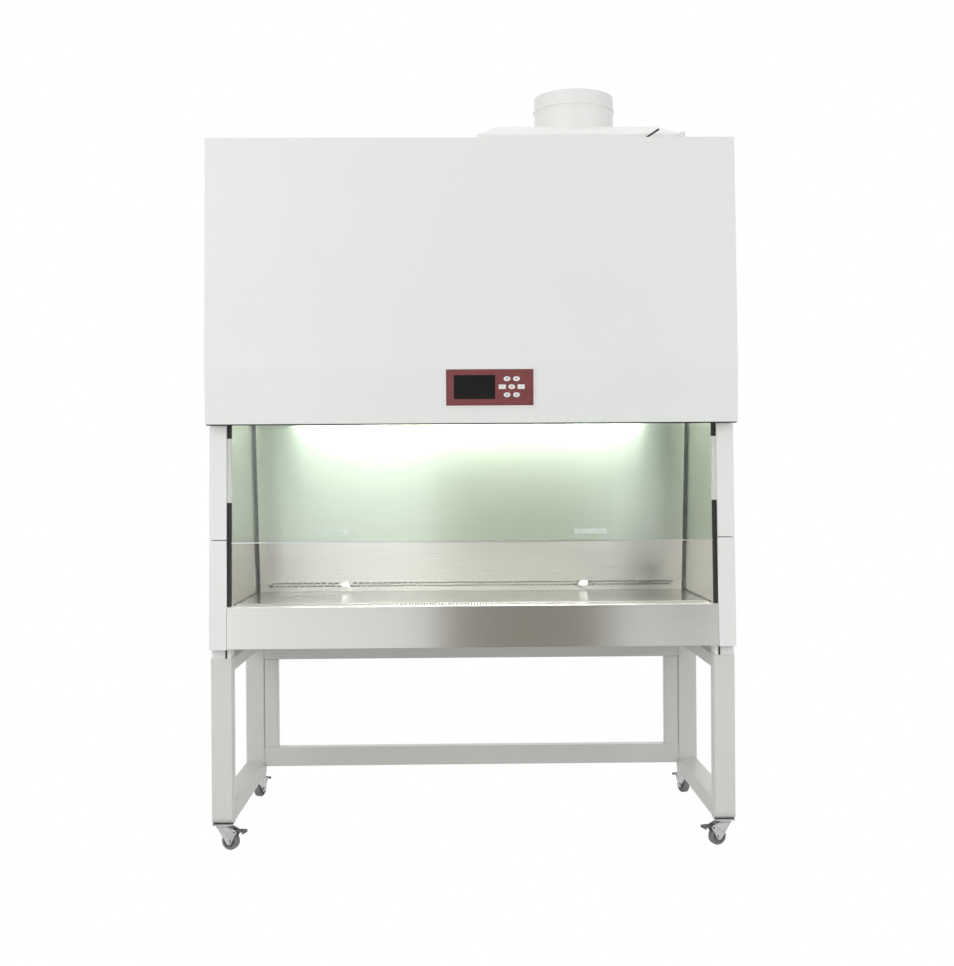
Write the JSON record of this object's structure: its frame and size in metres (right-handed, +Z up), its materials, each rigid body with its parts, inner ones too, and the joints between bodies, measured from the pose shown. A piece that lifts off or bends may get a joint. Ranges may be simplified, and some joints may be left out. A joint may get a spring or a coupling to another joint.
{
  "type": "biosafety cabinet",
  "caption": "Ducted biological safety cabinet with leaning hood, sliding sash, stainless work chamber and roof exhaust, on a wheeled stand",
  "frame": {"origin": "on the floor under the middle of the cabinet's overall box", "axes": "+X to the operator's right, +Y to the back, +Z up"},
  "size_m": [1.5, 0.76, 2.25],
  "materials": {
    "white_paint": "satin powder coat, warm white",
    "stand_paint": "satin powder coat, light grey",
    "stainless": "brushed, semi-bright",
    "zinc": "bright zinc plate",
    "galvanised": "dull galvanised",
    "wheel_rubber": "grey moulded rubber",
    "brake_steel": "dark plated pedal",
    "seal_black": "matt black",
    "panel_red": "brick red membrane, satin",
    "screen_black": "glossy black",
    "button_white": "white, satin",
    "board_green": "solder mask",
    "sash_glass": "toughened glass with a green tint",
    "handle_pale": "pale translucent grip",
    "aluminium": "mill finish",
    "filter_media": "pleated glass paper",
    "lamp_glass": "frosted lamp tube",
    "white_plastic": "moulded white"
  },
  "bodies": {
    "cabinet": {"stand_side_frames": "stand_paint", "stand_cross_frame": "stand_paint", "stand_mounting_blocks": "white_plastic", "stand_bolts": "zinc", "caster_plates": "zinc", "column_covers": "white_paint", "side_panels": "white_paint", "rear_panel": "white_paint", "roof_panel": "white_paint", "hood_cover": "white_paint", "control_bezel": "white_plastic", "control_faceplate": "panel_red", "display_screen": "screen_black", "control_board": "board_green", "sash_guides": "seal_black", "lift_belts": "seal_black", "lift_frames": "galvanised", "front_sill": "stainless", "intake_grille": "stainless", "work_surface": "stainless", "base_pan": "stainless", "chamber_rear_wall": "stainless", "chamber_side_walls": "stainless", "rear_wall_clips": "white_plastic", "air_diffuser": "stainless", "lamp_tubes": "lamp_glass", "lamp_holders": "white_plastic", "supply_filter": "filter_media", "supply_plenum": "galvanised", "blower_housing": "galvanised", "blower_motor": "aluminium", "exhaust_filter": "filter_media", "exhaust_plenum": "white_paint", "exhaust_collar": "white_paint", "roof_fittings": "white_plastic"},
    "sash": {"sash_glass": "sash_glass", "sash_handles": "handle_pale", "sash_top_rail": "aluminium"},
    "lift_shaft": {"lift_shaft": "zinc"},
    "lift_idlers": {"lift_idlers": "zinc"},
    "impeller": {"blower_impeller": "galvanised"},
    "button_power": {"button_power": "button_white"},
    "button_lamp": {"button_lamp": "button_white"},
    "button_down": {"button_down": "button_white"},
    "button_set": {"button_set": "button_white"},
    "button_up": {"button_up": "button_white"},
    "button_uv": {"button_uv": "button_white"},
    "button_fan": {"button_fan": "button_white"},
    "caster_front_left": {"caster_fork_front_left": "zinc"},
    "wheel_front_left": {"caster_wheel_front_left": "wheel_rubber"},
    "pedal_front_left": {"caster_pedal_front_left": "brake_steel"},
    "caster_front_right": {"caster_fork_front_right": "zinc"},
    "wheel_front_right": {"caster_wheel_front_right": "wheel_rubber"},
    "pedal_front_right": {"caster_pedal_front_right": "brake_steel"},
    "caster_rear_left": {"caster_fork_rear_left": "zinc"},
    "wheel_rear_left": {"caster_wheel_rear_left": "wheel_rubber"},
    "pedal_rear_left": {"caster_pedal_rear_left": "brake_steel"},
    "caster_rear_right": {"caster_fork_rear_right": "zinc"},
    "wheel_rear_right": {"caster_wheel_rear_right": "wheel_rubber"},
    "pedal_rear_right": {"caster_pedal_rear_right": "brake_steel"}
  },
  "joints": [
    {"name": "sash_slide", "type": "slide", "parent": "cabinet", "child": "sash", "axis": [0, 0.0436, 0.999], "range_m": [-0.177, 0.22]},
    {"name": "lift_shaft_turn", "type": "hinge", "parent": "cabinet", "child": "lift_shaft", "pos_m": [0, -0.24155, 1.868], "axis": [1, 0, 0], "range_deg": [-610, 490]},
    {"name": "lift_idlers_turn", "type": "hinge", "parent": "cabinet", "child": "lift_idlers", "pos_m": [0, -0.2632, 1.372], "axis": [1, 0, 0], "range_deg": [-610, 490]},
    {"name": "impeller_spin", "type": "hinge", "parent": "cabinet", "child": "impeller", "pos_m": [-0.33, -0.00062, 1.6998], "axis": [1, 0, 0], "continuous": true},
    {"name": "button_power_press", "type": "slide", "parent": "cabinet", "child": "button_power", "axis": [0, 0.999, 0.0451], "range_m": [0, 0.0008], "stiffness_N_per_m": 600},
    {"name": "button_lamp_press", "type": "slide", "parent": "cabinet", "child": "button_lamp", "axis": [0, 0.999, 0.0451], "range_m": [0, 0.0008], "stiffness_N_per_m": 600},
    {"name": "button_down_press", "type": "slide", "parent": "cabinet", "child": "button_down", "axis": [0, 0.999, 0.0451], "range_m": [0, 0.0008], "stiffness_N_per_m": 600},
    {"name": "button_set_press", "type": "slide", "parent": "cabinet", "child": "button_set", "axis": [0, 0.999, 0.0451], "range_m": [0, 0.0008], "stiffness_N_per_m": 600},
    {"name": "button_up_press", "type": "slide", "parent": "cabinet", "child": "button_up", "axis": [0, 0.999, 0.0451], "range_m": [0, 0.0008], "stiffness_N_per_m": 600},
    {"name": "button_uv_press", "type": "slide", "parent": "cabinet", "child": "button_uv", "axis": [0, 0.999, 0.0451], "range_m": [0, 0.0008], "stiffness_N_per_m": 600},
    {"name": "button_fan_press", "type": "slide", "parent": "cabinet", "child": "button_fan", "axis": [0, 0.999, 0.0451], "range_m": [0, 0.0008], "stiffness_N_per_m": 600},
    {"name": "swivel_front_left", "type": "hinge", "parent": "cabinet", "child": "caster_front_left", "pos_m": [-0.718, -0.295, 0.0657], "axis": [0, 0, 1], "continuous": true},
    {"name": "roll_front_left", "type": "hinge", "parent": "caster_front_left", "child": "wheel_front_left", "pos_m": [-0.69708, -0.3018, 0.025], "axis": [0.309, 0.9511, 0], "continuous": true},
    {"name": "brake_front_left", "type": "hinge", "parent": "caster_front_left", "child": "pedal_front_left", "pos_m": [-0.67995, -0.30736, 0.052], "axis": [0.309, 0.9511, 0], "range_deg": [0, 12]},
    {"name": "swivel_front_right", "type": "hinge", "parent": "cabinet", "child": "caster_front_right", "pos_m": [0.718, -0.295, 0.0657], "axis": [0, 0, 1], "continuous": true},
    {"name": "roll_front_right", "type": "hinge", "parent": "caster_front_right", "child": "wheel_front_right", "pos_m": [0.69733, -0.30252, 0.025], "axis": [0.342, -0.9397, 0], "continuous": true},
    {"name": "brake_front_right", "type": "hinge", "parent": "caster_front_right", "child": "pedal_front_right", "pos_m": [0.68041, -0.30868, 0.052], "axis": [0.342, -0.9397, 0], "range_deg": [0, 12]},
    {"name": "swivel_rear_left", "type": "hinge", "parent": "cabinet", "child": "caster_rear_left", "pos_m": [-0.718, 0.285, 0.0657], "axis": [0, 0, 1], "continuous": true},
    {"name": "roll_rear_left", "type": "hinge", "parent": "caster_rear_left", "child": "wheel_rear_left", "pos_m": [-0.70976, 0.3054, 0.025], "axis": [-0.9272, 0.3746, 0], "continuous": true},
    {"name": "brake_rear_left", "type": "hinge", "parent": "caster_rear_left", "child": "pedal_rear_left", "pos_m": [-0.70301, 0.32209, 0.052], "axis": [-0.9272, 0.3746, 0], "range_deg": [0, 12]},
    {"name": "swivel_rear_right", "type": "hinge", "parent": "cabinet", "child": "caster_rear_right", "pos_m": [0.718, 0.285, 0.0657], "axis": [0, 0, 1], "continuous": true},
    {"name": "roll_rear_right", "type": "hinge", "parent": "caster_rear_right", "child": "wheel_rear_right", "pos_m": [0.70976, 0.3054, 0.025], "axis": [-0.9272, -0.3746, 0], "continuous": true},
    {"name": "brake_rear_right", "type": "hinge", "parent": "caster_rear_right", "child": "pedal_rear_right", "pos_m": [0.70301, 0.32209, 0.052], "axis": [-0.9272, -0.3746, 0], "range_deg": [0, 12]}
  ],
  "couplings": [
    {"joint": "lift_shaft_turn", "follows": "sash_slide", "rad_per_m": -47.619},
    {"joint": "lift_idlers_turn", "follows": "sash_slide", "rad_per_m": -47.619}
  ]
}
